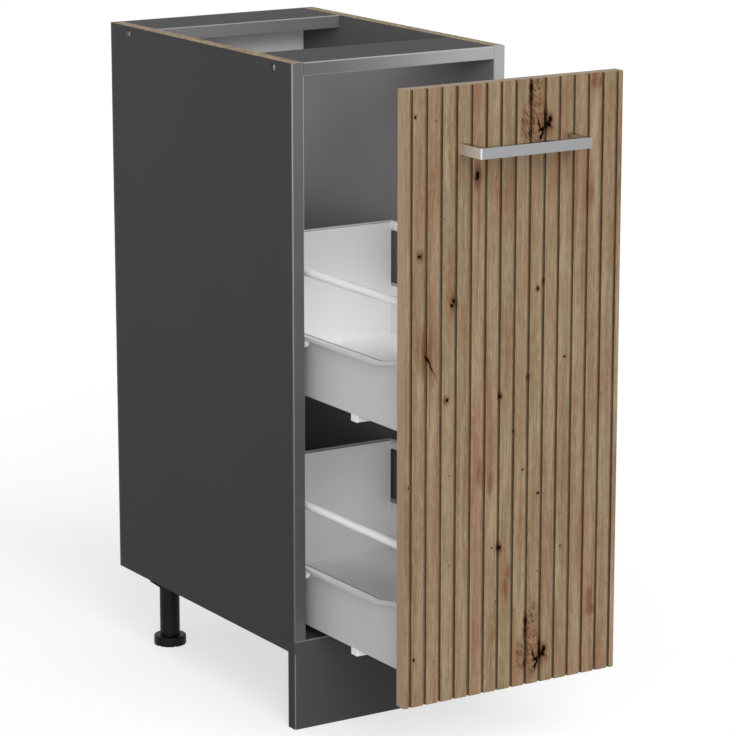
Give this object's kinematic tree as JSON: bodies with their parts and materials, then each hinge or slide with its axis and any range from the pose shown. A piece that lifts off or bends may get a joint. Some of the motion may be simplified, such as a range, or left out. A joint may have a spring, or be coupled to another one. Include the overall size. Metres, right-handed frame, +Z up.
{
  "type": "pull-out pantry base cabinet",
  "caption": "Narrow base cabinet with a grooved oak front that pulls out with metal-sided drawers, on a plinth and adjustable rear legs.",
  "frame": {"origin": "on the floor, at the middle of the width, in the plane of the carcass front", "axes": "+X to the right seen from the front, +Y from the carcass front to its back, +Z up"},
  "size_m": [0.3, 0.7358, 0.816],
  "materials": {
    "melamine_anthracite": "matt anthracite melamine on chipboard",
    "edge_anthracite": "satin anthracite edge band",
    "back_grey": "light grey lacquered fibreboard",
    "front_oak": "grooved knotty oak decor",
    "white_board": "white melamine",
    "drawer_steel": "light grey powder coat",
    "runner_steel": "light grey powder coat",
    "gallery_white": "white lacquered tube",
    "white_plastic": "white moulded plastic",
    "roller_nylon": "white nylon",
    "handle_metal": "satin",
    "leg_plastic": "black moulded plastic",
    "screw_steel": "zinc plated",
    "dowel_wood": "beech",
    "bumper_clear": "soft translucent pad"
  },
  "bodies": {
    "carcass": {"side_panel_left": "melamine_anthracite", "side_panel_right": "melamine_anthracite", "bottom_panel": "melamine_anthracite", "top_rail_front": "melamine_anthracite", "top_rail_rear": "melamine_anthracite", "plinth_panel": "melamine_anthracite", "edge_bands": "edge_anthracite", "back_panel": "back_grey", "back_nails": "screw_steel", "confirmat_screws": "screw_steel", "dowels": "dowel_wood", "plinth_brackets": "runner_steel", "plinth_bracket_screws": "screw_steel", "leg_left": "leg_plastic", "leg_right": "leg_plastic", "leg_screws": "screw_steel", "upper_runner_left": "runner_steel", "upper_runner_right": "runner_steel", "lower_runner_left": "runner_steel", "lower_runner_right": "runner_steel", "runner_screws": "screw_steel", "cabinet_roller_pins": "screw_steel"},
    "pull_out": {"upper_drawer_bottom": "white_board", "lower_drawer_bottom": "white_board", "upper_drawer_back": "white_board", "lower_drawer_back": "white_board", "upper_drawer_side_left": "drawer_steel", "upper_drawer_side_right": "drawer_steel", "lower_drawer_side_left": "drawer_steel", "lower_drawer_side_right": "drawer_steel", "upper_gallery_rail_left": "gallery_white", "upper_gallery_rail_right": "gallery_white", "lower_gallery_rail_left": "gallery_white", "lower_gallery_rail_right": "gallery_white", "gallery_front_holders": "white_plastic", "gallery_rear_holders": "white_plastic", "upper_drawer_cross_bar": "white_plastic", "lower_drawer_cross_bar": "white_plastic", "front_panel": "front_oak", "handle": "handle_metal", "handle_screws": "screw_steel", "front_bumpers": "bumper_clear", "front_brackets": "runner_steel", "front_bracket_screws": "screw_steel", "drawer_bottom_screws": "screw_steel", "drawer_back_screws": "screw_steel", "drawer_roller_pins": "screw_steel"},
    "upper_cabinet_roller_left": {"upper_cabinet_roller_left": "roller_nylon"},
    "upper_cabinet_roller_right": {"upper_cabinet_roller_right": "roller_nylon"},
    "upper_drawer_roller_left": {"upper_drawer_roller_left": "roller_nylon"},
    "upper_drawer_roller_right": {"upper_drawer_roller_right": "roller_nylon"},
    "lower_cabinet_roller_left": {"lower_cabinet_roller_left": "roller_nylon"},
    "lower_cabinet_roller_right": {"lower_cabinet_roller_right": "roller_nylon"},
    "lower_drawer_roller_left": {"lower_drawer_roller_left": "roller_nylon"},
    "lower_drawer_roller_right": {"lower_drawer_roller_right": "roller_nylon"},
    "foot_left": {"foot_left": "leg_plastic"},
    "foot_right": {"foot_right": "leg_plastic"}
  },
  "joints": [
    {"name": "pull_out_slide", "type": "slide", "parent": "carcass", "child": "pull_out", "axis": [0, -1, 0], "range_m": [-0.224, 0.1]},
    {"name": "upper_cabinet_roller_left_spin", "type": "hinge", "parent": "carcass", "child": "upper_cabinet_roller_left", "pos_m": [-0.127, 0.014, 0.479], "axis": [1, 0, 0], "continuous": true},
    {"name": "upper_cabinet_roller_right_spin", "type": "hinge", "parent": "carcass", "child": "upper_cabinet_roller_right", "pos_m": [0.127, 0.014, 0.479], "axis": [1, 0, 0], "continuous": true},
    {"name": "upper_drawer_roller_left_spin", "type": "hinge", "parent": "pull_out", "child": "upper_drawer_roller_left", "pos_m": [-0.127, 0.207, 0.473], "axis": [1, 0, 0], "continuous": true},
    {"name": "upper_drawer_roller_right_spin", "type": "hinge", "parent": "pull_out", "child": "upper_drawer_roller_right", "pos_m": [0.127, 0.207, 0.473], "axis": [1, 0, 0], "continuous": true},
    {"name": "lower_cabinet_roller_left_spin", "type": "hinge", "parent": "carcass", "child": "lower_cabinet_roller_left", "pos_m": [-0.127, 0.014, 0.192], "axis": [1, 0, 0], "continuous": true},
    {"name": "lower_cabinet_roller_right_spin", "type": "hinge", "parent": "carcass", "child": "lower_cabinet_roller_right", "pos_m": [0.127, 0.014, 0.192], "axis": [1, 0, 0], "continuous": true},
    {"name": "lower_drawer_roller_left_spin", "type": "hinge", "parent": "pull_out", "child": "lower_drawer_roller_left", "pos_m": [-0.127, 0.207, 0.186], "axis": [1, 0, 0], "continuous": true},
    {"name": "lower_drawer_roller_right_spin", "type": "hinge", "parent": "pull_out", "child": "lower_drawer_roller_right", "pos_m": [0.127, 0.207, 0.186], "axis": [1, 0, 0], "continuous": true},
    {"name": "foot_left_height", "type": "slide", "parent": "carcass", "child": "foot_left", "axis": [0, 0, -1], "range_m": [0, 0.02]},
    {"name": "foot_right_height", "type": "slide", "parent": "carcass", "child": "foot_right", "axis": [0, 0, -1], "range_m": [0, 0.02]}
  ],
  "couplings": [
    {"joint": "upper_cabinet_roller_left_spin", "follows": "pull_out_slide", "rad_per_m": 153.85},
    {"joint": "upper_cabinet_roller_right_spin", "follows": "pull_out_slide", "rad_per_m": 153.85},
    {"joint": "upper_drawer_roller_left_spin", "follows": "pull_out_slide", "rad_per_m": 153.85},
    {"joint": "upper_drawer_roller_right_spin", "follows": "pull_out_slide", "rad_per_m": 153.85},
    {"joint": "lower_cabinet_roller_left_spin", "follows": "pull_out_slide", "rad_per_m": 153.85},
    {"joint": "lower_cabinet_roller_right_spin", "follows": "pull_out_slide", "rad_per_m": 153.85},
    {"joint": "lower_drawer_roller_left_spin", "follows": "pull_out_slide", "rad_per_m": 153.85},
    {"joint": "lower_drawer_roller_right_spin", "follows": "pull_out_slide", "rad_per_m": 153.85}
  ]
}
